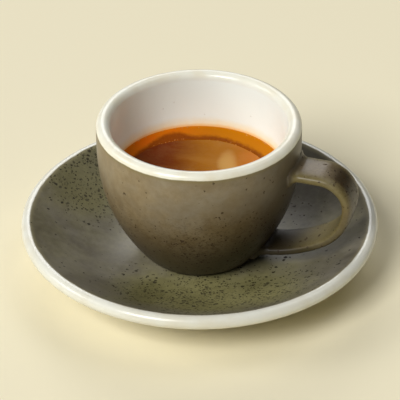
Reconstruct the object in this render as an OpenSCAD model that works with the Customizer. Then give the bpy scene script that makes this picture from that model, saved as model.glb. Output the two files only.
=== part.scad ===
// Espresso in a stoneware cup on its saucer.
//
// The saucer's axis is the Z axis, the table is the plane z = 0, and the
// cup's handle points along +X.  All sizes are millimetres.

/* [Saucer] */
// Diameter over the rim
saucer_d = 118; // [100:1:150]
// Height of the rim's top above the table
saucer_h = 18.8; // [15:0.2:24]
// Thickness of the full-round rim
saucer_edge_t = 4.6; // [3:0.2:6]
// Slope of the dish where it meets the rim, in degrees
saucer_edge_slope = 33; // [22:1:40]
// Diameter of the flat well that the cup stands in
saucer_well_d = 46; // [40:1:60]
// Thickness of the saucer at the well
saucer_floor_t = 4; // [3:0.2:5]
// Outer diameter of the foot ring
saucer_foot_d = 60; // [52:1:68]
// Width of the foot ring's resting face
saucer_foot_w = 3; // [2:0.5:5]
// Height of the foot ring
saucer_foot_h = 2; // [1:0.2:3]

/* [Cup] */
// Diameter of the cup's upright upper wall
cup_d = 66.7; // [55:0.2:82]
// Height of the cup, from its foot to the top of its lip
cup_h = 49.6; // [40:0.1:62]
// Thickness of the wall at the lip
cup_wall = 4.5; // [3:0.1:5.5]
// Height of the lip's rounding
lip_h = 2.1; // [1.5:0.1:3]
// Depth below the lip's top at which the wall starts to curve in
shoulder_drop = 6.2; // [4:0.1:12]
// Diameter that the bowl's outside curve narrows to, level with the foot
base_d = 35.6; // [30:0.2:40]
// Exponent of the bowl's outside curve: higher is squarer
outer_curve = 2.4; // [2:0.05:3]
// Diameter of the flat floor inside
floor_d = 26; // [20:1:32]
// Height of the inside floor above the cup's foot
floor_h = 7.2; // [6:0.1:9]
// Exponent of the bowl's inside curve
inner_curve = 3.7; // [3:0.1:4.5]
// Outer diameter of the cup's foot ring
foot_d = 35; // [28:0.5:35.5]
// Width of the foot ring's resting face
foot_w = 3; // [2:0.1:5]
// Height of the foot ring
foot_h = 1.6; // [1:0.1:2.5]

/* [Handle] */
// Width of the strap
strap_w = 13; // [10:0.2:16]
// Thickness of the strap
strap_t = 3.3; // [2.6:0.1:4.2]
// Distance from the cup's wall to the middle of the strap at its furthest
handle_reach = 17.8; // [14:0.1:22]
// Depth of the upper run's middle below the lip's top
handle_drop = 12.4; // [9:0.1:15]
// Radius of the upper bend
upper_bend_r = 9.5; // [7:0.1:12]
// Angle that the back turns through, in degrees
back_sweep = 57; // [48:1:64]
// Height of the tail's root above the cup's foot
tail_h = 6.3; // [5.5:0.1:8]
// Rise of the tail from its root to the end of the back
tail_rise = 7.1; // [5:0.1:10]
// How far the strap's faces spread where they meet the wall
root_flare = 1.6; // [0.6:0.1:2]
// Distance from the wall over which they spread
root_run = 4; // [2:0.1:6]
// Depth that the upper root is sunk into the wall
root_sink = 2.4; // [1.8:0.1:2.8]
// Depth that the tail's root is sunk into the base
tail_sink = 4.4; // [3.8:0.1:4.8]

/* [Espresso] */
// Depth of the coffee's surface below the lip's top
fill_drop = 20; // [14:0.1:25]
// Width of the ring of crema against the wall
crema_w = 6.6; // [3:0.2:9]
// Depth of the crema
crema_t = 1.2; // [0.8:0.1:2.5]
// Slant of the crema's inner edge, from its top to its underside
crema_slant = 0.6; // [0:0.1:1.5]

/* [Hidden] */
$fn = 96;

STEPS_DISH = 14;
STEPS_EDGE = 8;
STEPS_BOWL = 16;
STEPS_LIP = 12;
STEPS_SECTION = 20;
STEPS_RUN = 6;
STEPS_BEND = 9;
STEPS_BACK = 7;
STEPS_TAIL = 12;
CROWNED = 2.2;
FLATTENED = 3.6;

// Saucer: heights and the full-round rim's centre
well_z = saucer_foot_h + saucer_floor_t;
well_r = saucer_well_d / 2;
edge_r = saucer_edge_t / 2;
edge_x = saucer_d / 2 - edge_r;
edge_z = saucer_h - edge_r;
saucer_foot_r = saucer_foot_d / 2;

// Cup: heights above the table and radii
cup_r = cup_d / 2;
lip_top_z = well_z + cup_h;
lip_z = lip_top_z - lip_h;
shoulder_z = lip_top_z - shoulder_drop;
body_z = well_z + foot_h;
floor_z = well_z + floor_h;
level_z = lip_top_z - fill_drop;
crema_z = level_z - crema_t;

// Radius of the bowl's outside and inside at height z
function outer_r(z) =
    cup_r - (cup_r - base_d / 2) * pow(max(0, (shoulder_z - z) / (shoulder_z - well_z)), outer_curve);
function inner_r(z) =
    let (lip_r = cup_r - cup_wall)
    lip_r - (lip_r - floor_d / 2) * pow(max(0, (lip_z - z) / (lip_z - floor_z)), inner_curve);

// Points of the bowl's outside and inside from height z0 to z1
function outer_points(z0, z1, steps) =
    [for (i = [0:steps]) let (z = z0 + (z1 - z0) * i / steps) [outer_r(z), z]];
function inner_points(z0, z1, steps) =
    [for (i = [0:steps]) let (z = z0 + (z1 - z0) * i / steps) [inner_r(z), z]];

// A list without its first point
function rest_of(points) = [for (i = [1:len(points) - 1]) points[i]];

// Points of a curve that leaves (r0, z0) level and reaches (r1, z1) at the rim's slope
function dish_points(r0, z0, r1, z1) =
    let (n = tan(saucer_edge_slope) * (r1 - r0) / (z1 - z0))
    [for (i = [0:STEPS_DISH]) let (u = i / STEPS_DISH) [r0 + (r1 - r0) * u, z0 + (z1 - z0) * pow(u, n)]];

// Points of the full-round rim from angle a0 to a1
function edge_points(a0, a1) =
    [for (i = [0:STEPS_EDGE]) let (a = a0 + (a1 - a0) * i / STEPS_EDGE)
        [edge_x + edge_r * cos(a), edge_z + edge_r * sin(a)]];

// Points of the lip, a half ellipse from the outside over the top to the inside
function lip_points() =
    [for (i = [0:STEPS_LIP]) let (a = 180 * i / STEPS_LIP)
        [cup_r - cup_wall / 2 + cup_wall / 2 * cos(a), lip_z + lip_h * sin(a)]];

module saucer() {
    under_edge = edge_points(-90 + saucer_edge_slope, 0);
    upper_edge = edge_points(0, 90 + saucer_edge_slope);
    low_end = under_edge[0];
    top_end = upper_edge[STEPS_EDGE];
    underside = dish_points(saucer_foot_r, saucer_foot_h, low_end.x, low_end.y);
    dish = dish_points(well_r, well_z, top_end.x, top_end.y);
    color([0.36, 0.34, 0.24])
    rotate_extrude()
    polygon(concat(
        [[0, saucer_foot_h]],
        [[saucer_foot_r - saucer_foot_w, saucer_foot_h]],
        [[saucer_foot_r - saucer_foot_w, 0]],
        [[saucer_foot_r, 0]],
        underside,
        rest_of(under_edge),
        rest_of(upper_edge),
        [for (i = [STEPS_DISH - 1:-1:0]) dish[i]],
        [[0, well_z]]
    ));
}

// The bowl of the cup: foot ring, outside, lip, inside and floor
module bowl() {
    rotate_extrude()
    polygon(concat(
        [[0, body_z]],
        [[foot_d / 2 - foot_w, body_z]],
        [[foot_d / 2 - foot_w, well_z]],
        [[foot_d / 2, well_z]],
        [[foot_d / 2, body_z]],
        outer_points(body_z, shoulder_z, STEPS_BOWL),
        lip_points(),
        rest_of(inner_points(lip_z, level_z, STEPS_BOWL / 2)),
        rest_of(inner_points(level_z, crema_z, 1)),
        rest_of(inner_points(crema_z, floor_z, STEPS_BOWL)),
        [[0, floor_z]]
    ));
}

// Spread of the strap where its middle line is at x, height z
function flare(x, z) =
    root_flare * pow(max(0, 1 - max(0, x - outer_r(z)) / root_run), 2);

// Cross-section of the strap around frame [x, z, angle of its outward normal]:
// two half superellipses, crowned outside and flatter inside
function strap_ring(f) =
    let (g = flare(f[0], f[1]))
    [for (i = [0:STEPS_SECTION - 1])
        let (a = 360 * i / STEPS_SECTION,
             e = 2 / (cos(a) > 0 ? CROWNED : FLATTENED),
             out = (strap_t / 2 + g) * sign(cos(a)) * pow(abs(cos(a)), e),
             side = (strap_w / 2 + g) * sign(sin(a)) * pow(abs(sin(a)), e))
        [f[0] + out * cos(f[2]), side, f[1] + out * sin(f[2])]];

// Frames along an arc of radius r about c, from normal angle a0 to a1
function arc_frames(c, r, a0, a1, steps) =
    [for (i = [0:steps]) let (a = a0 + (a1 - a0) * i / steps) [c.x + r * cos(a), c.y + r * sin(a), a]];

// A closed solid through equal rings of points
module skin(rings) {
    n = len(rings[0]);
    last = (len(rings) - 1) * n;
    polyhedron(
        points = [for (ring = rings) each ring],
        faces = concat(
            [for (k = [0:len(rings) - 2]) for (i = [0:n - 1]) let (j = (i + 1) % n)
                [k * n + i, k * n + j, (k + 1) * n + j, (k + 1) * n + i]],
            [[for (i = [n - 1:-1:0]) i]],
            [[for (i = [0:n - 1]) last + i]]
        )
    );
}

// The handle: a level run, a tight upper bend, a wide back that fills the
// height left, and a tail whose arc leaves the back in line with it and ends
// inside the base
module handle() {
    far_x = cup_r + handle_reach;
    run_z = lip_top_z - handle_drop;
    run_x = cup_r - root_sink;
    bend = [far_x - upper_bend_r, run_z - upper_bend_r];
    tail_z = well_z + tail_h;
    back_r = (bend.y - tail_z - tail_rise) / sin(back_sweep);
    back = [far_x - back_r, bend.y];
    inward = [-cos(back_sweep), sin(back_sweep)];
    joint = back - back_r * inward;
    tail_end = [outer_r(tail_z) - tail_sink, tail_z];
    chord = tail_end - joint;
    tail_r = (chord * chord) / (2 * chord * inward);
    tail = joint + tail_r * inward;
    tail_angle = atan2(tail_end.y - tail.y, tail_end.x - tail.x);
    run = [for (i = [0:STEPS_RUN]) [run_x + (bend.x - run_x) * i / STEPS_RUN, run_z, 90]];
    frames = concat(
        run,
        rest_of(arc_frames(bend, upper_bend_r, 90, 0, STEPS_BEND)),
        rest_of(arc_frames(back, back_r, 0, -back_sweep, STEPS_BACK)),
        rest_of(arc_frames(tail, tail_r, -back_sweep, tail_angle, STEPS_TAIL))
    );
    skin([for (f = frames) strap_ring(f)]);
}

module cup() {
    color([0.45, 0.41, 0.30])
    union() {
        bowl();
        handle();
    }
}

module espresso() {
    color([0.42, 0.24, 0.08])
    rotate_extrude()
    polygon(concat(
        [[0, floor_z]],
        inner_points(floor_z, crema_z, STEPS_BOWL),
        [[inner_r(level_z) - crema_w + crema_slant, crema_z]],
        [[inner_r(level_z) - crema_w, level_z]],
        [[0, level_z]]
    ));
}

// The ring of foam that floats against the wall, level with the coffee
module crema() {
    color([0.65, 0.33, 0.04])
    rotate_extrude()
    polygon(concat(
        [[inner_r(level_z) - crema_w, level_z]],
        [[inner_r(level_z) - crema_w + crema_slant, crema_z]],
        inner_points(crema_z, level_z, 1)
    ));
}

saucer();
cup();
espresso();
crema();
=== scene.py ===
"""An espresso in its cup, on its saucer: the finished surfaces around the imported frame.

Shape functions work in millimetres; a mesh is written in metres.  Every shape is either
a profile turned about an axis or a section carried along a path.
"""
import math

import bmesh
import bpy
import numpy as np
from mathutils import Matrix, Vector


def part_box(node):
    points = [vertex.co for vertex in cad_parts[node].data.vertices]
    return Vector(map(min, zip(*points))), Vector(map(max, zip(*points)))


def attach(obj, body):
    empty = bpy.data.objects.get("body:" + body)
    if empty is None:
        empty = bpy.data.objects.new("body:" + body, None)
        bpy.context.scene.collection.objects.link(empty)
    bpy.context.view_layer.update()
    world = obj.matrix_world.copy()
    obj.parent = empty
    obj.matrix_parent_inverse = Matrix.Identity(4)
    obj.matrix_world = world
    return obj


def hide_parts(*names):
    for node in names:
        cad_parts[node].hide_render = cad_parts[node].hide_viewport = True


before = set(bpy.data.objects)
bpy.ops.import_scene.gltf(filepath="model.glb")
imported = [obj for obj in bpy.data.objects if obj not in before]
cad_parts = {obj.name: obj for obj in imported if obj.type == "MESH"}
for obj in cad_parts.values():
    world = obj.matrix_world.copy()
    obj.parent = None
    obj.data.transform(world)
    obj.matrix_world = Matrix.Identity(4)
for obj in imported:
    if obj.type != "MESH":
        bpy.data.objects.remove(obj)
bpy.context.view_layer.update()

MM = 0.001


# ---------------------------------------------------------------- sizes

def box_mm(node):
    """Lowest and highest corner of a CAD node, in millimetres."""
    low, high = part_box(node)
    return np.array(low) / MM, np.array(high) / MM


_, saucer_high = box_mm("saucer")
cup_low, cup_high = box_mm("cup")
drink_low, drink_high = box_mm("espresso")
_, crema_high = box_mm("crema")

# Outlines: how far corners are softened, and the longest step
SOFTNESS = 0.3
STEP = 0.75

# Saucer
SAUCER_R = saucer_high[0]
SAUCER_TOP = saucer_high[2]
WELL_R = 23.0
WELL_Z = cup_low[2]
EDGE_R = 2.3
EDGE_SLOPE = math.radians(33)
SAUCER_FOOT_R = 30.0
SAUCER_FOOT_W = 3.0
SAUCER_FOOT_H = 2.0
SAUCER_AROUND = 288

# Bowl of the cup
CUP_R = cup_high[1]
LIP_TOP = cup_high[2]
WALL = 4.5
LIP_H = 2.1
LIP_Z = LIP_TOP - LIP_H
SHOULDER_Z = LIP_TOP - 6.2
BASE_R = 17.8
OUTER_CURVE = 2.4
FLOOR_R = 13.0
FLOOR_Z = drink_low[2]
INNER_CURVE = 3.7
FOOT_R = 17.5
FOOT_W = 3.0
FOOT_H = 1.6
BODY_Z = WELL_Z + FOOT_H
BOWL_AROUND = 256

# Handle, with the fillet where it meets the bowl
STRAP_W = 13.0
STRAP_T = 3.3
CROWN_OUTSIDE = 3.2
CROWN_INSIDE = 4.2
FAR_X = cup_high[0] - STRAP_T / 2
RUN_Z = LIP_TOP - 12.4
BEND_R = 9.5
BACK_SWEEP = math.radians(57)
TAIL_Z = WELL_Z + 6.3
TAIL_RISE = 7.1
ROOT_SINK = 2.4
TAIL_SINK = 4.4
FILLET = 2.6
FILLET_MOST = 1.9
STRAP_AROUND = 48

# Points of the union closer than this are one point, and shorter edges are slivers
MERGE = 0.004
SLIVER = 0.002

# Coffee, and the step in it that the crema floats in
LEVEL_Z = drink_high[2]
COFFEE_Z = LEVEL_Z - 0.35
BED_Z = LEVEL_Z - 1.0
COFFEE_INTO_WALL = 0.2
COFFEE_INTO_FLOOR = 0.15
COFFEE_SOFTNESS = 0.1
COFFEE_STEP = 0.9
COFFEE_AROUND = 192

# Crema: its ring, the round of its inner edge and its meniscus
CREMA_R = crema_high[0]
CREMA_W = 6.6
CREMA_WIDEST = math.radians(105)
CREMA_INTO_WALL = 0.25
CREMA_UNDER_Z = LEVEL_Z - 1.1
CREMA_EDGE_Z = LEVEL_Z - 0.5
CREMA_ROUND_W = 0.7
CREMA_ROUND_H = 0.32
MENISCUS_H = 0.22
MENISCUS_W = 0.3
CREMA_AROUND = 288
CREMA_ACROSS = 40

# Bubbles: how many, the share along the wall, smallest and largest radius, how far they stray
# from their edge, and how deep their middles lie as a share of the radius
BUBBLES = 170
BUBBLES_AT_WALL = 0.62
BUBBLE_R = (0.1, 0.27)
BUBBLE_STRAY = 0.35
BUBBLE_SINK = 0.35
BUBBLE_RINGS = 4
BUBBLE_AROUND = 8

# Glaze line, how far each side of it is told apart, and the height given to what isn't inside
GLAZE_LINE_R = 56.1
GLAZE_LINE_Z = LIP_Z + 0.2
LINE_REACH = 4.0
OFF_COFFEE = 50.0

# Where specks and dark glaze gather, and where shade and a shadow are painted: to the right, to the front,
# width and strength
SAUCER_SPECKS = [(2, 32, 13, 1.0), (-14, 30, 9, 0.9), (19, 31, 11, 0.9),
                 (-38, -25, 9, 0.9), (-34, -36, 8, 1.0), (35, -20, 7, 0.1)]
# Dark glaze on the saucer; the first spot, at back right behind the cup, is a painted shadow of the cup
SAUCER_DARK_GLAZE_AND_SHADOW = [(33, -37, 10, 0.95), (-38, -25, 12, 0.6), (-34, -36, 10, 0.6), (-50, -4, 9, 0.25)]
CUP_SPECKS = [(20, 26, 11, 1.0), (2, 30, 12, 0.75), (-20, 20, 10, 0.4)]
# Painted shade on the bowl's right side, which is turned from the light
CUP_PAINTED_SHADE = [(34, 14, 19, 0.64)]

# Stretches over which the strap's glaze and its painted shade change, from none of a change to all
# of it; the first is the distance from the bowl
ON_STRAP = (0.4, 1.6)
STRAP_EDGE = (STRAP_W * 0.22, STRAP_W * 0.46)
UNDER_BEND = (RUN_Z - 4, RUN_Z - 10)
# The bend's outside and the tail's root are where painted shade darkens the strap
BEND_OUTSIDE = (38.0, 47.0)
TAIL_ROOT = (43.0, 31.0)
INNER_FACE = np.array([-0.8, 0, 0.6])

# Pale patch on the coffee: its middle and its reach, to the right and to the front
PATCH_RIGHT, PATCH_RIGHT_REACH = 9.5, 2.8
PATCH_FRONT, PATCH_FRONT_REACH = -4.0, 7.8

# Camera and lights
CAMERA_AZIMUTH = math.radians(18)
CAMERA_ELEVATION = math.radians(33.86)
CAMERA_ROLL = math.radians(-0.37)
CAMERA_DISTANCE = 791.8
CAMERA_AIM_RIGHT = 0.18
CAMERA_AIM_UP = 24.37
CAMERA_LENS = 216.0
LIGHT_DISTANCE = 6000
FLOOR_HALF = 6000.0

# Directions as seen from the camera
RIGHT = np.array([math.cos(CAMERA_AZIMUTH), math.sin(CAMERA_AZIMUTH), 0])
FRONT = np.array([math.sin(CAMERA_AZIMUTH), -math.cos(CAMERA_AZIMUTH), 0])
UP = np.array([0.0, 0.0, 1.0])


# ---------------------------------------------------------------- outlines

def outer_r(z):
    """Radius of the bowl's outside at height z: the full radius less a power of the depth
    below the shoulder."""
    depth = np.maximum(0, (SHOULDER_Z - z) / (SHOULDER_Z - WELL_Z))
    return CUP_R - (CUP_R - BASE_R) * depth ** OUTER_CURVE


def inner_r(z):
    """Radius of the bowl's inside at height z, by the same rule from the lip to the floor."""
    lip_r = CUP_R - WALL
    depth = np.maximum(0, (LIP_Z - z) / (LIP_Z - FLOOR_Z))
    return lip_r - (lip_r - FLOOR_R) * depth ** INNER_CURVE


def line(*points):
    """Straight stretches through the given (r, z) corners."""
    return np.array(points, float)


def arc(centre, radii, start, end, steps=40):
    """An arc of an ellipse about centre, from angle start to angle end in degrees."""
    a = np.radians(np.linspace(start, end, steps))
    return np.stack([centre[0] + radii[0] * np.cos(a), centre[1] + radii[1] * np.sin(a)], 1)


def dish(r0, z0, r1, z1, steps=60):
    """A curve that leaves (r0, z0) level and reaches (r1, z1) at the rim's slope: height is a
    power of the way across, the power being slope times run over rise."""
    u = np.linspace(0, 1, steps)
    power = math.tan(EDGE_SLOPE) * (r1 - r0) / (z1 - z0)
    return np.stack([r0 + (r1 - r0) * u, z0 + (z1 - z0) * u ** power], 1)


def spaced(points, step):
    """The polyline cut again into equal steps of its own length."""
    s = np.r_[0, np.cumsum(np.hypot(*np.diff(points, axis=0).T))]
    points = points[np.r_[True, np.diff(s) > 1e-9]]
    s = s[np.r_[True, np.diff(s) > 1e-9]]
    t = np.linspace(0, s[-1], int(s[-1] / step) + 1)
    return np.stack([np.interp(t, s, points[:, 0]), np.interp(t, s, points[:, 1])], 1)


def outline(pieces, softness, spacing):
    """One outline through the pieces, its corners softened by a bell-shaped running average
    of the given width, then cut into steps that shorten where it bends."""
    fine = 0.05
    line_points = spaced(np.concatenate(pieces), fine)
    reach = int(4 * softness / fine)
    bell = np.exp(-0.5 * (np.arange(-reach, reach + 1) * fine / softness) ** 2)
    bell /= bell.sum()
    mirror = np.array([-1, 1])
    padded = np.concatenate([line_points[reach:0:-1] * mirror, line_points,
                             line_points[-2:-reach - 2:-1] * mirror])
    soft = np.stack([np.convolve(padded[:, k], bell, "valid") for k in (0, 1)], 1)
    soft[[0, -1], 0] = 0
    turn = np.unwrap(np.arctan2(*np.gradient(soft, axis=0).T[::-1]))
    bend = np.abs(np.gradient(turn)) / fine
    density = 1 + 2.2 * np.minimum(bend, 2.5)
    s = np.r_[0, np.cumsum((density[1:] + density[:-1]) / 2 * fine)]
    t = np.linspace(0, s[-1], int(s[-1] / spacing) + 1)
    return np.stack([np.interp(t, s, soft[:, 0]), np.interp(t, s, soft[:, 1])], 1)


# ---------------------------------------------------------------- meshes

def mesh_object(name, points, faces, smooth=True):
    """A mesh object from points in millimetres and lists of corner numbers."""
    mesh = bpy.data.meshes.new(name)
    mesh.from_pydata((points * MM).tolist(), [], faces)
    mesh.polygons.foreach_set("use_smooth", np.full(len(mesh.polygons), smooth))
    mesh.update()
    piece = bpy.data.objects.new(name, mesh)
    bpy.context.scene.collection.objects.link(piece)
    return piece


def loops(rows, around):
    """Four-cornered faces between neighbouring closed rows of points."""
    index = np.arange(rows * around).reshape(rows, around)
    ahead = np.roll(index, -1, 1)
    return np.stack([index[:-1], ahead[:-1], ahead[1:], index[1:]], -1).reshape(-1, 4).tolist()


def turned(profile, around):
    """The points and faces of a profile turned about Z.  The profile starts and ends on the
    axis, so its two ends are single points and the surface is closed."""
    r, z = profile[1:-1].T
    a = np.linspace(0, 2 * math.pi, around, endpoint=False)
    grid = np.stack([np.outer(r, np.cos(a)), np.outer(r, np.sin(a)), np.outer(z, np.ones(around))], -1)
    rows = len(r)
    points = np.concatenate([grid.reshape(-1, 3), [[0, 0, profile[0, 1]], [0, 0, profile[-1, 1]]]])
    ring = np.arange(around)
    ahead = np.roll(ring, -1)
    low, high = rows * around, rows * around + 1
    top = (rows - 1) * around
    fan_low = np.stack([np.full(around, low), ahead, ring], 1).tolist()
    fan_high = np.stack([top + ring, top + ahead, np.full(around, high)], 1).tolist()
    return points, loops(rows, around) + fan_low + fan_high


def set_value(piece, name, values):
    """A number for each point, which a material reads as an attribute."""
    layer = piece.data.attributes.new(name, "FLOAT", "POINT")
    layer.data.foreach_set("value", np.asarray(values, np.float32))


def points_of(piece):
    """The points of a piece, in millimetres."""
    flat = np.zeros(len(piece.data.vertices) * 3, np.float32)
    piece.data.vertices.foreach_get("co", flat)
    return flat.reshape(-1, 3).astype(float) / MM


def normals_of(piece):
    """The outward direction at each point of a piece."""
    flat = np.zeros(len(piece.data.vertices) * 3, np.float32)
    piece.data.vertices.foreach_get("normal", flat)
    return flat.reshape(-1, 3).astype(float)


def share(value, start, end):
    """How far a value has come from start to end, held within 0 and 1."""
    return np.clip((value - start) / (end - start), 0, 1)


def patches(points, spots):
    """Where something gathers, from 0 to 1: the largest of bell shapes, each given by its
    middle, to the right and the front of the cup, its width and its strength."""
    right, front = points @ RIGHT, points @ FRONT
    value = np.zeros(len(points))
    for at_right, at_front, width, strength in spots:
        square = (right - at_right) ** 2 + (front - at_front) ** 2
        value = np.maximum(value, strength * np.exp(-0.5 * square / width ** 2))
    return value


# ---------------------------------------------------------------- saucer

def make_saucer():
    """Turned profile: foot ring, underside, full-round rim, dish and well."""
    edge = np.array([SAUCER_R - EDGE_R, SAUCER_TOP - EDGE_R])
    slope = math.degrees(EDGE_SLOPE)
    rim = arc(edge, (EDGE_R, EDGE_R), slope - 90, slope + 90)
    foot_in = SAUCER_FOOT_R - SAUCER_FOOT_W
    profile = outline([
        line((0, SAUCER_FOOT_H), (foot_in, SAUCER_FOOT_H), (foot_in, 0), (SAUCER_FOOT_R, 0)),
        dish(SAUCER_FOOT_R, SAUCER_FOOT_H, *rim[0]),
        rim,
        dish(WELL_R, WELL_Z, *rim[-1])[::-1],
        line((0, WELL_Z)),
    ], SOFTNESS, STEP)
    points, faces = turned(profile, SAUCER_AROUND)
    piece = mesh_object("saucer_ware", points, faces)
    below_rim = np.arange(len(profile) - 2) < np.argmax(profile[1:-1, 0])
    colour_saucer(piece, points, np.r_[below_rim.repeat(SAUCER_AROUND), True, False])
    return piece


def colour_saucer(piece, points, under):
    """The numbers that the saucer's glaze reads: white past the glaze line and all underneath,
    and the places where specks and dark glaze gather, and a painted shadow of the cup behind it."""
    past_line = np.clip(np.hypot(points[:, 0], points[:, 1]) - GLAZE_LINE_R, -LINE_REACH, LINE_REACH)
    set_value(piece, "white_mm", np.where(under, LINE_REACH, past_line))
    set_value(piece, "above_coffee_mm", np.full(len(points), OFF_COFFEE))
    set_value(piece, "speckled", patches(points, SAUCER_SPECKS))
    set_value(piece, "worn", np.zeros(len(points)))
    # Dark glaze patches, and a painted shadow of the cup on the dish behind it to the right
    set_value(piece, "low", patches(points, SAUCER_DARK_GLAZE_AND_SHADOW))


# ---------------------------------------------------------------- cup

def cup_profile():
    """Outline of the bowl: recess, foot ring, outside, lip, inside and floor."""
    out_z = np.linspace(BODY_Z, SHOULDER_Z, 160)
    in_z = FLOOR_Z + (LIP_Z - FLOOR_Z) * np.linspace(1, 0, 200) ** 1.5
    foot_in = FOOT_R - FOOT_W
    return outline([
        line((0, BODY_Z), (foot_in, BODY_Z), (foot_in, WELL_Z), (FOOT_R, WELL_Z), (FOOT_R, BODY_Z)),
        np.stack([outer_r(out_z), out_z], 1),
        arc((CUP_R - WALL / 2, LIP_Z), (WALL / 2, LIP_H), 0, 180),
        np.stack([inner_r(in_z), in_z], 1),
        line((0, FLOOR_Z)),
    ], SOFTNESS, STEP)


def arc_path(centre, r, start, end, steps):
    """Middle line and outward normal along an arc, as rows of x, z and the normal's angle."""
    a = np.linspace(start, end, steps)
    return np.stack([centre[0] + r * np.cos(a), centre[1] + r * np.sin(a), a], 1)


def handle_path():
    """Middle line of the strap: a level run, a tight upper bend, a wide back, and a tail that
    leaves the back in line with it and ends inside the base."""
    run_x = CUP_R - ROOT_SINK
    bend = np.array([FAR_X - BEND_R, RUN_Z - BEND_R])
    back_r = (bend[1] - TAIL_Z - TAIL_RISE) / math.sin(BACK_SWEEP)
    back = np.array([FAR_X - back_r, bend[1]])
    inward = np.array([-math.cos(BACK_SWEEP), math.sin(BACK_SWEEP)])
    joint = back - back_r * inward
    tail_end = np.array([float(outer_r(TAIL_Z)) - TAIL_SINK, TAIL_Z])
    chord = tail_end - joint
    tail_r = chord @ chord / (2 * chord @ inward)
    tail = joint + tail_r * inward
    tail_angle = math.atan2(*(tail_end - tail)[::-1])
    x = np.linspace(run_x, bend[0], 40)
    run = np.stack([x, np.full(40, RUN_Z), np.full(40, math.pi / 2)], 1)
    return np.concatenate([
        run,
        arc_path(bend, BEND_R, math.pi / 2, 0, 40)[1:],
        arc_path(back, back_r, 0, -BACK_SWEEP, 36)[1:],
        arc_path(tail, tail_r, -BACK_SWEEP, tail_angle, 70)[1:],
    ])


def wall_distance(points):
    """Distance from points to the bowl's outside, near enough, as the gap in radius times the
    cosine of the wall's slope there; it is negative inside the wall."""
    r = np.hypot(points[..., 0], points[..., 1])
    z = points[..., 2]
    lean = (outer_r(z + 0.05) - outer_r(z - 0.05)) / 0.1
    return (r - outer_r(z)) / np.sqrt(1 + lean ** 2)


def handle_surface():
    """The strap's section, two half superellipses, carried along its path.  Near the wall each
    point is pushed outward by fillet less the root of fillet squared less the square of what is
    left of the fillet, so that the strap flows into the bowl."""
    path = handle_path()
    x, z, normal = (path[:, k, None] for k in range(3))
    a = np.linspace(0, 2 * math.pi, STRAP_AROUND, endpoint=False)[None]
    crown = 2 / np.where(np.cos(a) > 0, CROWN_OUTSIDE, CROWN_INSIDE)
    out = np.sign(np.cos(a)) * np.abs(np.cos(a)) ** crown
    side = np.sign(np.sin(a)) * np.abs(np.sin(a)) ** crown

    def surface(spread):
        """Points of the strap with its section spread by that much all round."""
        o = (STRAP_T / 2 + spread) * out
        s = (STRAP_W / 2 + spread) * side
        return np.stack([x + o * np.cos(normal), s + 0 * x, z + o * np.sin(normal)], -1)

    gap = np.clip(wall_distance(surface(0.0)), 0, FILLET)
    spread = FILLET - np.sqrt(FILLET ** 2 - (FILLET - gap) ** 2)
    grid = surface(np.minimum(spread, FILLET_MOST))
    rows = len(path)
    points = np.concatenate([grid.reshape(-1, 3), grid[[0, -1]].mean(1)])
    ring = np.arange(STRAP_AROUND)
    ahead = np.roll(ring, -1)
    last = (rows - 1) * STRAP_AROUND
    middle = np.full(STRAP_AROUND, rows * STRAP_AROUND)
    start_cap = np.stack([middle, ahead, ring], 1).tolist()
    end_cap = np.stack([last + ring, last + ahead, middle + 1], 1).tolist()
    return points, loops(rows, STRAP_AROUND) + start_cap + end_cap


def volume(points, faces):
    """Signed volume of a closed mesh: positive when its faces point outward."""
    total = 0.0
    for size in (3, 4):
        corners = np.array([f for f in faces if len(f) == size])
        if len(corners):
            p = points[corners]
            for k in range(1, size - 1):
                total += np.einsum("ij,ij->", p[:, 0], np.cross(p[:, k], p[:, k + 1])) / 6
    return total


def joined(base, other):
    """The two closed pieces as one closed mesh, with the slivers along their seam merged."""
    union = base.modifiers.new("union", "BOOLEAN")
    union.operation = "UNION"
    union.solver = "MANIFOLD"
    union.object = other
    bpy.context.view_layer.update()
    result = bpy.data.meshes.new_from_object(base.evaluated_get(bpy.context.evaluated_depsgraph_get()))
    base.modifiers.clear()
    base.data = result
    bpy.data.objects.remove(other)
    shape = bmesh.new()
    shape.from_mesh(result)
    bmesh.ops.remove_doubles(shape, verts=shape.verts, dist=MERGE * MM)
    bmesh.ops.dissolve_degenerate(shape, edges=shape.edges, dist=SLIVER * MM)
    shape.to_mesh(result)
    shape.free()
    return base


def make_cup():
    """The bowl and the handle as one closed piece."""
    bowl = mesh_object("cup_ware", *turned(cup_profile(), BOWL_AROUND))
    points, faces = handle_surface()
    if volume(points, faces) < 0:
        faces = [f[::-1] for f in faces]
    piece = joined(bowl, mesh_object("handle", points, faces))
    piece.data.polygons.foreach_set("use_smooth", np.full(len(piece.data.polygons), True))
    colour_cup(piece)
    return piece


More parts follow.
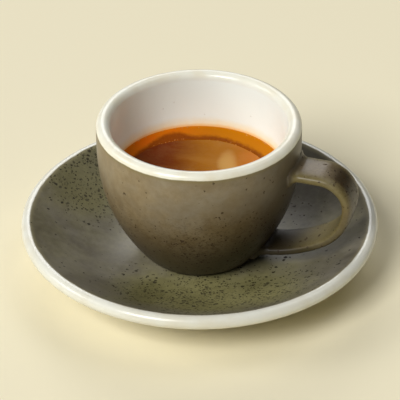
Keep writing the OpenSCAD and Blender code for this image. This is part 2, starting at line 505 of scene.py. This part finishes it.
def colour_cup(piece):
    """The numbers that the cup's glaze reads: white past the glaze line, inside and in the
    recess underneath, the height above the coffee, how thin the strap's glaze is, where specks
    gather, and painted shade: darker towards the foot and on the right, turned from the light."""
    p = points_of(piece)
    r, z = np.hypot(p[:, 0], p[:, 1]), p[:, 2]
    inside = (z > FLOOR_Z - 0.5) & (r < (outer_r(z) + inner_r(z)) / 2)
    recess = (z < BODY_Z + 0.5) & (r < FOOT_R - 0.4)
    past_line = np.clip(z - GLAZE_LINE_Z, -LINE_REACH, LINE_REACH)
    set_value(piece, "white_mm", np.where(inside | recess, LINE_REACH, past_line))
    set_value(piece, "above_coffee_mm", np.where(inside, z - LEVEL_Z, OFF_COFFEE))
    low = share(z, SHOULDER_Z, WELL_Z)
    # Painted shade: darker towards the foot, and on the right side, which is turned from the light
    dark = np.clip(low + patches(p, CUP_PAINTED_SHADE), 0, 1)
    specks = patches(p, CUP_SPECKS) * np.clip(low * 3.2 - 0.58, 0.05, 1)
    strap_worn, strap_painted_shade, strap_specks = strap_tones(p, normals_of(piece), low)
    on_strap = share(r - outer_r(z), *ON_STRAP)
    set_value(piece, "worn", on_strap * strap_worn)
    set_value(piece, "speckled", specks * (1 - on_strap) + strap_specks * on_strap)
    # The low number carries the painted shade of the bowl and the strap; there is none inside
    set_value(piece, "low", np.where(inside, 0, dark + (strap_painted_shade - dark) * on_strap))


def strap_tones(points, facing, low):
    """How thin, how darkened and how speckled the strap's glaze is.  It is thin along both edges and
    on the inner face below the bend, darkened by painted shade on the outside of the bend and at the
    tail's root, and speckled most on the outside of the bend."""
    x, y, z = points.T
    edge = share(np.abs(y), *STRAP_EDGE)
    under_bend = share(z, *UNDER_BEND)
    inner_face = under_bend * share(facing @ INNER_FACE, 0, 0.5)
    # The outside of the bend, turned from the light: painted shade there, and more specks
    outside = share(x, *BEND_OUTSIDE) * share(facing[:, 0], 0, 0.5) * (1 - edge)
    tail_root_shade = under_bend * share(x, *TAIL_ROOT)
    worn = np.maximum(edge * (1 - 0.5 * under_bend), inner_face) * (1 - 0.9 * tail_root_shade)
    # Painted shade: darker towards the foot, on the outside of the bend and at the tail's root in the wedge
    # against the bowl; the strap above the bend is a little darker besides
    dark = low * (1 - 0.5 * inner_face) + 0.55 * outside + 0.75 * tail_root_shade + 0.24 * (1 - under_bend)
    return worn, np.clip(dark, 0, 1), 0.15 + 0.7 * outside


# ---------------------------------------------------------------- drink

def make_espresso():
    """The coffee up to its level: a turned profile that reaches just into the wall, with a
    step down that the crema floats in."""
    z = np.linspace(FLOOR_Z, BED_Z, 60)
    step_r = CREMA_R - CREMA_W * 0.6
    profile = outline([
        line((0, FLOOR_Z - COFFEE_INTO_FLOOR)),
        np.stack([inner_r(z) + COFFEE_INTO_WALL, z], 1),
        line((step_r + 0.2, BED_Z), (step_r, COFFEE_Z), (0, COFFEE_Z)),
    ], COFFEE_SOFTNESS, COFFEE_STEP)
    return mesh_object("espresso_liquid", *turned(profile, COFFEE_AROUND))


def crema_edge(a):
    """Radius of the crema's inner edge at angle a.  The ring is widest on one side, by the first
    two harmonics about there, and three shorter sines make it wander."""
    b = a - CREMA_WIDEST
    width = CREMA_W * (0.89 + 0.2 * np.cos(b) - 0.1 * np.sin(b) + 0.15 * np.cos(2 * b))
    wander = 0.14 * np.sin(5 * a + 0.6) + 0.09 * np.sin(8 * a + 2.1) + 0.05 * np.sin(13 * a + 4.0)
    return CREMA_R - width + wander


def crema_top(r, a):
    """Height of the crema at radius r and angle a: a quarter round at the inner edge, level
    beyond it, and a meniscus that climbs by the exponential of the distance to the wall."""
    lap = np.clip((r - crema_edge(a)) / CREMA_ROUND_W, 0, 1)
    climb = MENISCUS_H * np.exp(-(CREMA_R - r) / MENISCUS_W)
    return CREMA_EDGE_Z + CREMA_ROUND_H * np.sqrt(1 - (1 - lap) ** 2) + climb


def make_crema():
    """The ring of foam: its section, the top above and a flat underside, carried round."""
    a = np.linspace(0, 2 * math.pi, CREMA_AROUND, endpoint=False)[None]
    across = np.linspace(0, 1, CREMA_ACROSS)[:, None] ** 1.3
    inner = crema_edge(a)
    r = inner + (CREMA_R + CREMA_INTO_WALL - inner) * across
    low = np.full((1, CREMA_AROUND), CREMA_UNDER_Z)
    rr = np.concatenate([r, r[-1:], r[:1]])
    zz = np.concatenate([crema_top(r, a), low, low])
    points = np.stack([rr * np.cos(a), rr * np.sin(a), zz], -1).reshape(-1, 3)
    index = np.arange(rr.size).reshape(rr.shape)
    outward = np.roll(index, -1, 0)
    faces = np.stack([index, outward, np.roll(outward, -1, 1), np.roll(index, -1, 1)], -1)
    piece = mesh_object("crema_ring", points, faces.reshape(-1, 4).tolist())
    set_value(piece, "across", share(rr, inner, CREMA_R).ravel())
    return piece


def make_bubbles():
    """Fine bubbles along the crema's two edges, as domes: each is a half circle turned into a
    sphere, with its own centre and radius, most of it sunk in the foam."""
    random = np.random.default_rng(7)
    a = random.uniform(0, 2 * math.pi, BUBBLES)
    at_wall = random.random(BUBBLES) < BUBBLES_AT_WALL
    size = random.uniform(*BUBBLE_R, BUBBLES) * np.where(at_wall, 1.0, 0.8)
    away = np.abs(random.normal(0, BUBBLE_STRAY, BUBBLES)) + size * 0.8
    r = np.where(at_wall, CREMA_R - away, crema_edge(a) + away)
    centre = np.stack([r * np.cos(a), r * np.sin(a), crema_top(r, a) - size * BUBBLE_SINK], 1)
    unit, unit_faces = turned(arc((0, 0), (1, 1), -90, 90, BUBBLE_RINGS + 2), BUBBLE_AROUND)
    points = centre[:, None] + unit[None] * size[:, None, None]
    start = (np.arange(BUBBLES) * len(unit))[:, None, None]
    faces = []
    for corners in (4, 3):
        alike = np.array([f for f in unit_faces if len(f) == corners])
        faces += (alike[None] + start).reshape(-1, corners).tolist()
    return mesh_object("crema_bubbles", points.reshape(-1, 3), faces)


# ---------------------------------------------------------------- shader helpers

def srgb(r, g, b):
    """A display colour, 0 to 255, as linear numbers."""
    c = np.array([r, g, b]) / 255
    c = np.where(c <= 0.04045, c / 12.92, ((c + 0.055) / 1.055) ** 2.4)
    return (*c.tolist(), 1.0)


class Nodes:
    """A node tree that is written as calls: each returns the new node's output socket."""

    def __init__(self, tree):
        self.tree = tree

    def add(self, kind, inputs=(), **settings):
        """A node of that kind with its settings and inputs: a socket is linked, a value is set."""
        node = self.tree.nodes.new(kind)
        for key, value in settings.items():
            setattr(node, key, value)
        for key, value in dict(inputs).items():
            if isinstance(value, bpy.types.NodeSocket):
                self.tree.links.new(value, node.inputs[key])
            else:
                node.inputs[key].default_value = value
        return node

    def math(self, operation, a, b=0.0):
        """One arithmetic step."""
        return self.add("ShaderNodeMath", {0: a, 1: b}, operation=operation).outputs[0]

    def ramp(self, value, low, high, to_low=0.0, to_high=1.0):
        """A smooth step of value from low to high."""
        node = self.add("ShaderNodeMapRange", {"Value": value, "From Min": low, "From Max": high,
                                               "To Min": to_low, "To Max": to_high},
                        interpolation_type="SMOOTHSTEP")
        return node.outputs["Result"]

    def mix(self, factor, a, b):
        """Two colours mixed by factor."""
        node = self.add("ShaderNodeMix", {0: factor, 6: a, 7: b}, data_type="RGBA")
        return node.outputs[2]

    def blend(self, factor, a, b):
        """Two numbers mixed by factor."""
        return self.add("ShaderNodeMix", {0: factor, 2: a, 3: b}, data_type="FLOAT").outputs[0]

    def noise(self, vector, scale, detail=2.0, roughness=0.5, distortion=0.0):
        """Noise of that many features a metre."""
        node = self.add("ShaderNodeTexNoise", {"Vector": vector, "Scale": scale, "Detail": detail,
                                               "Roughness": roughness, "Distortion": distortion})
        return node.outputs[0]

    def position(self):
        """The point's place on the piece, in metres."""
        return self.add("ShaderNodeTexCoord").outputs["Object"]

    def attribute(self, name):
        """A number that the mesh carries for each point."""
        return self.add("ShaderNodeAttribute", attribute_name=name).outputs["Fac"]

    def along(self, position, direction):
        """Distance along a direction, in metres."""
        node = self.add("ShaderNodeVectorMath", {0: position, 1: tuple(direction)},
                        operation="DOT_PRODUCT")
        return node.outputs["Value"]

    def bump(self, height, distance_mm, strength=1.0):
        """A normal tilted by a height from 0 to 1, which stands for that many millimetres."""
        return self.add("ShaderNodeBump", {"Height": height, "Distance": distance_mm * MM,
                                           "Strength": strength}).outputs[0]


def new_group(name, inputs, outputs):
    """An empty shader group with named inputs and outputs."""
    tree = bpy.data.node_groups.new(name, "ShaderNodeTree")
    for label, kind, value in inputs:
        socket = tree.interface.new_socket(name=label, in_out="INPUT", socket_type=kind)
        if value is not None:
            socket.default_value = value
    for label, kind in outputs:
        tree.interface.new_socket(name=label, in_out="OUTPUT", socket_type=kind)
    nodes = Nodes(tree)
    enter = nodes.add("NodeGroupInput").outputs
    leave = nodes.add("NodeGroupOutput").inputs
    return tree, nodes, enter, leave


def place(nodes, group, inputs):
    """A copy of a group in a material, with its own values: returns its outputs."""
    return nodes.add("ShaderNodeGroup", inputs, node_tree=group).outputs


def new_material(name):
    """An empty material with its surface shader."""
    material = bpy.data.materials.new(name)
    material.use_nodes = True
    tree = material.node_tree
    tree.nodes.clear()
    nodes = Nodes(tree)
    shader = nodes.add("ShaderNodeBsdfPrincipled")
    nodes.add("ShaderNodeOutputMaterial", {"Surface": shader.outputs[0]})
    return material, nodes, shader


# ---------------------------------------------------------------- shared effects

def speck_group():
    """Iron specks: in each cell of a random grid, bent out of shape by noise, one dot of random
    size and strength, most of them small, kept where a random number falls below the density,
    which slow noise makes uneven."""
    tree, n, enter, leave = new_group("iron_specks", [
        ("Position", "NodeSocketVector", None),
        ("Cell mm", "NodeSocketFloat", 1.1),
        ("Size", "NodeSocketFloat", 0.35),
        ("Density", "NodeSocketFloat", 0.5),
    ], [("Mask", "NodeSocketFloat")])
    position = enter["Position"]
    scale = n.math("DIVIDE", 1 / MM, enter["Cell mm"])
    bend = n.add("ShaderNodeTexNoise", {"Vector": position, "Scale": 1100.0, "Detail": 2.0}).outputs["Color"]
    bent = n.add("ShaderNodeVectorMath", {0: bend, 1: (0.0011, 0.0011, 0.0011), 2: position},
                 operation="MULTIPLY_ADD").outputs[0]
    cells = n.add("ShaderNodeTexVoronoi", {"Vector": bent, "Scale": scale}).outputs
    chance = n.add("ShaderNodeSeparateColor", {0: cells["Color"]}).outputs
    patch = n.ramp(n.noise(position, 170.0, 3.0), 0.32, 0.58, 0.3, 1.0)
    kept = n.math("LESS_THAN", chance[0], n.math("MULTIPLY", patch, enter["Density"]))
    radius = n.math("MULTIPLY", enter["Size"], n.blend(n.math("POWER", chance[1], 1.3), 0.4, 1.0))
    ragged = n.blend(n.noise(position, 3400.0, 1.0), -0.2, 0.2)
    dot = n.ramp(n.math("SUBTRACT", radius, n.math("ADD", cells["Distance"], ragged)), 0.0, 0.12)
    strength = n.blend(chance[2], 0.65, 1.0)
    n.tree.links.new(n.math("MULTIPLY", n.math("MULTIPLY", dot, kept), strength), leave["Mask"])
    return tree


def cloud_group():
    """Slow cloudy variation from 0 to 1 about one half: broad noise, with finer noise on it."""
    tree, n, enter, leave = new_group("glaze_clouds", [
        ("Position", "NodeSocketVector", None),
        ("Broad", "NodeSocketFloat", 45.0),
        ("Fine", "NodeSocketFloat", 420.0),
        ("Fine share", "NodeSocketFloat", 0.35),
    ], [("Value", "NodeSocketFloat")])
    broad = n.noise(enter["Position"], enter["Broad"], 3.0, 0.55, 0.6)
    fine = n.noise(enter["Position"], enter["Fine"], 3.0, 0.6)
    value = n.ramp(n.blend(enter["Fine share"], broad, fine), 0.3, 0.7)
    n.tree.links.new(value, leave["Value"])
    return tree


def white_group():
    """How white the glaze is, from the distance past the glaze line, which noise makes ragged,
    and how thin the coloured glaze is just before it."""
    tree, n, enter, leave = new_group("glaze_line", [
        ("Position", "NodeSocketVector", None),
        ("Past mm", "NodeSocketFloat", 0.0),
        ("Ragged mm", "NodeSocketFloat", 0.7),
    ], [("White", "NodeSocketFloat"), ("Thin", "NodeSocketFloat")])
    wander = n.math("SUBTRACT", n.noise(enter["Position"], 110.0, 4.0, 0.6), 0.5)
    past = n.math("ADD", enter["Past mm"], n.math("MULTIPLY", wander, enter["Ragged mm"]))
    n.tree.links.new(n.ramp(past, -0.22, 0.22), leave["White"])
    n.tree.links.new(n.ramp(past, -1.6, -0.1), leave["Thin"])
    return tree


# ---------------------------------------------------------------- materials

def glaze_specks(n, groups, tones, position, speckled):
    """Mask of the specks: fine ones, and coarse ones with them."""
    fine = place(n, groups["speck"], {
        "Position": position, "Cell mm": 0.82, "Size": 0.6,
        "Density": n.blend(speckled, tones["sparse"], tones["dense"]),
    })["Mask"]
    coarse = place(n, groups["speck"], {
        "Position": position, "Cell mm": 1.5, "Size": 0.52,
        "Density": n.blend(speckled, 0.02, tones["coarse"]),
    })["Mask"]
    return n.math("MAXIMUM", fine, coarse)


def speckled_glaze(n, groups, tones, position, cloud, thin_edge, specks, speckled):
    """Colour of the speckled glaze: olive clouds with grey ones among them, darker by the low number
    (painted shade on the cup, dark glaze and a painted shadow on the saucer), thin at edges, mottled
    where the specks gather, and then the specks."""
    grey = place(n, groups["cloud"], {"Position": position, "Broad": 24.0, "Fine": 160.0})["Value"]
    ungreyed = n.math("SUBTRACT", n.blend(grey, tones["grey_share"], 1.0), n.math("MULTIPLY", speckled, 1.1))
    olive = n.mix(cloud, tones["dark"], tones["light"])
    greyed = n.mix(cloud, tones["grey_dark"], tones["grey"])
    colour = n.mix(n.ramp(ungreyed, 0.0, 1.0), olive, greyed)
    # Darkened towards the low tone: painted shade on the cup, dark glaze and a painted shadow of the cup on
    # the saucer
    low = n.math("MULTIPLY", n.math("POWER", n.attribute("low"), 1.1), 0.93)
    colour = n.mix(low, colour, tones["low"])
    worn = n.math("MULTIPLY", n.attribute("worn"), 0.5)
    thin = n.math("MAXIMUM", n.math("MULTIPLY", thin_edge, 0.45), worn)
    colour = n.mix(thin, colour, tones["thin"])
    flat = n.add("ShaderNodeVectorMath", {0: position, 1: (1.0, 1.0, 1.7)}, operation="MULTIPLY").outputs[0]
    mottle = n.ramp(n.noise(flat, 820.0, 4.0, 0.7, 1.0), 0.51, 0.58)
    mottle = n.math("MULTIPLY", n.math("MULTIPLY", mottle, speckled), tones["mottle"])
    colour = n.mix(mottle, colour, tones["mottle_tone"])
    return n.mix(n.math("MULTIPLY", specks, tones["speck_share"]), colour, tones["speck"])


def white_glaze(n, groups, tones, position):
    """Colour of the white glaze: warm clouds, a lighter and cooler tone inside the cup that is painted
    light on the inner wall, a tide mark of coffee just above the drink, and a few faint specks."""
    above = n.attribute("above_coffee_mm")
    patchy = n.noise(position, 300.0, 3.0)
    high = n.ramp(n.math("ADD", above, n.math("MULTIPLY", patchy, 2.0)), 5.2, 1.2)
    near = n.ramp(n.math("ADD", above, n.math("MULTIPLY", patchy, 0.8)), 1.7, 0.5)
    warm = n.ramp(n.noise(position, 130.0, 4.0), 0.35, 0.7)
    white = n.mix(warm, tones["white"], tones["white_warm"])
    # Painted light: inside the cup the white is lighter and cooler than outside, lifting the inner wall and
    # offsetting the orange light bounced from the crema
    white = n.mix(n.ramp(above, 19.4, 16.8), white, tones["inside"])
    white = n.mix(n.math("MULTIPLY", high, 0.7), white, srgb(244, 222, 170))
    white = n.mix(n.math("MULTIPLY", near, 0.8), white, srgb(242, 190, 108))
    few = place(n, groups["speck"], {
        "Position": position, "Cell mm": 3.2, "Size": 0.13, "Density": 0.16,
    })["Mask"]
    return n.mix(n.math("MULTIPLY", few, 0.5), white, srgb(150, 130, 96))


def glaze_material(name, groups, tones):
    """Satin speckled glaze up to the glaze line, and glossier white glaze past it."""
    material, n, shader = new_material(name)
    position = n.position()
    speckled = n.attribute("speckled")
    cloud = place(n, groups["cloud"], {"Position": position})["Value"]
    edge = place(n, groups["white"], {
        "Position": position, "Past mm": n.attribute("white_mm"), "Ragged mm": tones["ragged"],
    })
    specks = glaze_specks(n, groups, tones, position, speckled)
    colour = speckled_glaze(n, groups, tones, position, cloud, edge["Thin"], specks, speckled)
    white = white_glaze(n, groups, tones, position)
    n.tree.links.new(n.mix(edge["White"], colour, white), shader.inputs["Base Color"])

    satin = n.blend(cloud, tones["rough"] - 0.06, tones["rough"] + 0.06)
    satin = n.blend(specks, satin, 0.85)
    n.tree.links.new(n.blend(edge["White"], satin, 0.24), shader.inputs["Roughness"])
    ripple = n.noise(position, 900.0, 2.0)
    height = n.blend(0.25, n.blend(edge["White"], 0.0, 0.55), ripple)
    height = n.math("SUBTRACT", height, n.math("MULTIPLY", specks, 0.05))
    n.tree.links.new(n.bump(height, 0.12), shader.inputs["Normal"])
    shader.inputs["IOR"].default_value = 1.5
    return material


def coffee_material(groups):
    """Dark clear brown on the left, lighter towards the right in a painted reflection of the light on
    that side: a slow change across the cup, swirls where paler foam is drawn out, and one pale patch with
    soft edges."""
    material, n, shader = new_material("coffee_brown")
    position = n.position()
    right, front = n.along(position, RIGHT), n.along(position, FRONT)
    drawn = n.add("ShaderNodeCombineXYZ", {0: n.math("MULTIPLY", right, 0.3), 1: front, 2: 0.0}).outputs[0]
    swirl = n.noise(drawn, 110.0, 4.0, 0.55, 0.8)
    wander = n.math("MULTIPLY", n.math("SUBTRACT", swirl, 0.5), 0.012)
    toward_painted_reflection = n.math("ADD", right, wander)
    # Painted reflection: the coffee lightens towards the right, where the light on that side is reflected
    colour = n.mix(n.ramp(toward_painted_reflection, -0.014, 0.006), srgb(112, 40, 0), srgb(160, 98, 10))
    colour = n.mix(n.ramp(toward_painted_reflection, 0.008, 0.019), colour, srgb(186, 108, 34))
    colour = n.mix(n.math("MULTIPLY", n.ramp(swirl, 0.48, 0.7), 0.3), colour, srgb(166, 112, 42))
    bent = n.math("ADD", right, n.math("MULTIPLY", wander, 0.25))
    off_right = n.math("DIVIDE", n.math("SUBTRACT", bent, PATCH_RIGHT * MM), PATCH_RIGHT_REACH * MM)
    off_front = n.math("DIVIDE", n.math("SUBTRACT", front, PATCH_FRONT * MM), PATCH_FRONT_REACH * MM)
    off = n.math("ADD", n.math("POWER", n.math("ABSOLUTE", off_right), 2.0),
                 n.math("POWER", n.math("ABSOLUTE", off_front), 2.0))
    colour = n.mix(n.ramp(off, 2.0, 0.0, 0.0, 0.6), colour, srgb(204, 160, 90))
    film = place(n, groups["cloud"], {"Position": position, "Broad": 150.0, "Fine": 1400.0})["Value"]
    colour = n.mix(n.math("MULTIPLY", film, 0.1), colour, srgb(190, 146, 84))
    n.tree.links.new(colour, shader.inputs["Base Color"])
    n.tree.links.new(n.blend(film, 0.07, 0.16), shader.inputs["Roughness"])
    n.tree.links.new(n.bump(n.noise(position, 700.0, 3.0), 0.02), shader.inputs["Normal"])
    shader.inputs["IOR"].default_value = 1.14
    return material


def crema_material(groups):
    """Orange-brown foam of very fine bubbles, redder on the left and painted a little lighter there against
    the shadow of the cup's rim, and darkest at its inner edge, where the dark band widens on the left."""
    material, n, shader = new_material("crema_foam")
    position = n.position()
    across = n.attribute("across")
    streak = place(n, groups["cloud"], {"Position": position, "Broad": 120.0, "Fine": 900.0})["Value"]
    uneven = n.math("MULTIPLY", n.math("SUBTRACT", streak, 0.5), 0.2)
    right = n.along(position, RIGHT)
    # Redder on the left, and painted a little lighter there: painted light offsetting the shadow of the
    # cup's rim
    colour = n.mix(n.ramp(right, -0.018, 0.008), srgb(216, 98, 6), srgb(188, 110, 0))
    colour = n.mix(n.math("MULTIPLY", streak, 0.4), colour, srgb(190, 120, 6))
    left = n.math("MULTIPLY", n.ramp(right, 0.0, -0.009, 0.0, 0.42), n.ramp(right, -0.018, -0.012))
    dark = n.ramp(n.math("SUBTRACT", n.math("ADD", across, uneven), left), 0.42, 0.05)
    colour = n.mix(n.math("MULTIPLY", dark, 0.85), colour, srgb(112, 42, 0))
    colour = n.mix(n.ramp(across, 0.93, 1.0, 0.0, 0.6), colour, srgb(206, 132, 44))
    froth = n.add("ShaderNodeTexVoronoi", {"Vector": position, "Scale": 3600.0}).outputs["Distance"]
    colour = n.mix(n.ramp(froth, 0.75, 0.2, 0.0, 0.15), colour, srgb(206, 128, 26))
    n.tree.links.new(colour, shader.inputs["Base Color"])
    n.tree.links.new(n.blend(streak, 0.34, 0.46), shader.inputs["Roughness"])
    n.tree.links.new(n.bump(froth, 0.02, 0.5), shader.inputs["Normal"])
    shader.inputs["IOR"].default_value = 1.1
    return material


def bubble_material():
    """Thin-skinned bubbles, each a little paler than the foam."""
    material, n, shader = new_material("bubble_skin")
    tone = n.noise(n.position(), 900.0, 1.0)
    colour = n.mix(tone, srgb(170, 96, 24), srgb(224, 168, 96))
    n.tree.links.new(colour, shader.inputs["Base Color"])
    n.tree.links.new(n.blend(tone, 0.06, 0.16), shader.inputs["Roughness"])
    n.tree.links.new(n.bump(n.noise(n.position(), 4200.0, 1.0), 0.01), shader.inputs["Normal"])
    return material


# ---------------------------------------------------------------- stage

def make_stage():
    """A wide pale floor."""
    corners = FLOOR_HALF * np.array([[-1, -1, 0], [1, -1, 0], [1, 1, 0], [-1, 1, 0]])
    floor = mesh_object("floor", corners, [[0, 1, 2, 3]], smooth=False)
    material, _, shader = new_material("pale_floor")
    shader.inputs["Base Color"].default_value = srgb(240, 231, 200)
    shader.inputs["Roughness"].default_value = 0.9
    floor.data.materials.append(material)


def make_camera():
    """The camera, turned about its own line of sight by the roll."""
    back = FRONT * math.cos(CAMERA_ELEVATION) + UP * math.sin(CAMERA_ELEVATION)
    up = np.cross(back, RIGHT)
    aim = RIGHT * CAMERA_AIM_RIGHT + UP * CAMERA_AIM_UP
    c, s = math.cos(CAMERA_ROLL), math.sin(CAMERA_ROLL)
    camera = bpy.data.objects.new("camera", bpy.data.cameras.new("camera"))
    bpy.context.scene.collection.objects.link(camera)
    camera.data.lens = CAMERA_LENS
    camera.data.sensor_width = 36.0
    camera.data.clip_start = 0.05
    camera.data.clip_end = 50.0
    turn = np.eye(4)
    turn[:3, :3] = np.stack([c * RIGHT + s * up, -s * RIGHT + c * up, back], 1)
    turn[:3, 3] = (aim + CAMERA_DISTANCE * back) * MM
    camera.matrix_world = Matrix(turn.tolist())
    bpy.context.scene.camera = camera


def make_light(name, turn, rise, watts, size_mm):
    """A square soft light aimed at the cup from LIGHT_DISTANCE away.  Turn goes from the right
    by way of the back to the left and the front, and rise is the height, both in degrees."""
    data = bpy.data.lights.new(name, "AREA")
    data.size = size_mm * MM
    data.energy = watts
    lamp = bpy.data.objects.new(name, data)
    bpy.context.scene.collection.objects.link(lamp)
    turn, rise = math.radians(turn), math.radians(rise)
    level = RIGHT * math.cos(turn) - FRONT * math.sin(turn)
    away = level * math.cos(rise) + UP * math.sin(rise)
    side = np.cross(UP, away) / math.cos(rise)
    pose = np.eye(4)
    pose[:3, :3] = np.stack([side, np.cross(away, side), away], 1)
    pose[:3, 3] = (away * LIGHT_DISTANCE + UP * CAMERA_AIM_UP) * MM
    lamp.matrix_world = Matrix(pose.tolist())


def make_world(colour, strength):
    """Even light from all round."""
    world = bpy.data.worlds.new("studio")
    world.use_nodes = True
    sky = world.node_tree.nodes["Background"]
    sky.inputs["Color"].default_value = colour
    sky.inputs["Strength"].default_value = strength
    bpy.context.scene.world = world


# ---------------------------------------------------------------- the scene

make_stage()
make_camera()
make_world(srgb(240, 240, 240), 0.02)
for light in [
    ("key", 235, 42, 298, 2500),
    ("side", 180, 30, 112, 2300),
    ("rear", 95, 34, 95, 2800),
    ("fill", 28, 62, 42, 2600),
]:
    make_light(*light)
bpy.context.scene.view_settings.view_transform = "Standard"

GROUPS = {"speck": speck_group(), "cloud": cloud_group(), "white": white_group()}

SAUCER_TONES = {
    "dark": srgb(112, 107, 66), "light": srgb(142, 136, 90),
    "grey_dark": srgb(98, 91, 77), "grey": srgb(132, 126, 111), "grey_share": 0.55,
    # On the saucer the low tone is both dark glaze and a painted shadow of the cup
    "thin": srgb(150, 140, 102), "low": srgb(60, 54, 32), "speck": srgb(32, 23, 3), "speck_share": 0.97,
    "mottle": 0.3, "mottle_tone": srgb(80, 71, 34),
    "white": srgb(227, 226, 213), "white_warm": srgb(221, 217, 199), "inside": srgb(226, 224, 206),
    "sparse": 0.012, "dense": 1.0, "coarse": 0.9, "ragged": 0.9, "rough": 0.45,
}
CUP_TONES = {
    "dark": srgb(122, 102, 66), "light": srgb(152, 134, 99),
    "grey_dark": srgb(122, 107, 80), "grey": srgb(140, 131, 112), "grey_share": 0.3,
    # On the cup the low tone is the colour of painted shade
    "thin": srgb(118, 108, 56), "low": srgb(29, 20, 6), "speck": srgb(48, 29, 5), "speck_share": 0.9,
    "mottle": 1.3, "mottle_tone": srgb(60, 43, 16),
    # The inside tone is painted light: a lighter, cooler white for the inner wall
    "white": srgb(238, 236, 220), "white_warm": srgb(232, 226, 204), "inside": srgb(246, 252, 245),
    "sparse": 0.008, "dense": 0.5, "coarse": 0.12, "ragged": 0.8, "rough": 0.42,
}

PIECES = [
    (make_saucer(), "saucer", "saucer_glaze", glaze_material("saucer_stoneware", GROUPS, SAUCER_TONES)),
    (make_cup(), "cup", "cup_glaze", glaze_material("cup_stoneware", GROUPS, CUP_TONES)),
    (make_espresso(), "espresso", "coffee", coffee_material(GROUPS)),
    (make_crema(), "crema", "crema", crema_material(GROUPS)),
    (make_bubbles(), None, "crema", bubble_material()),
]
for piece, node, slot, material in PIECES:
    piece.data.materials.clear()
    piece.data.materials.append(material)
    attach(piece, "root")
    if node:
        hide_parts(node)
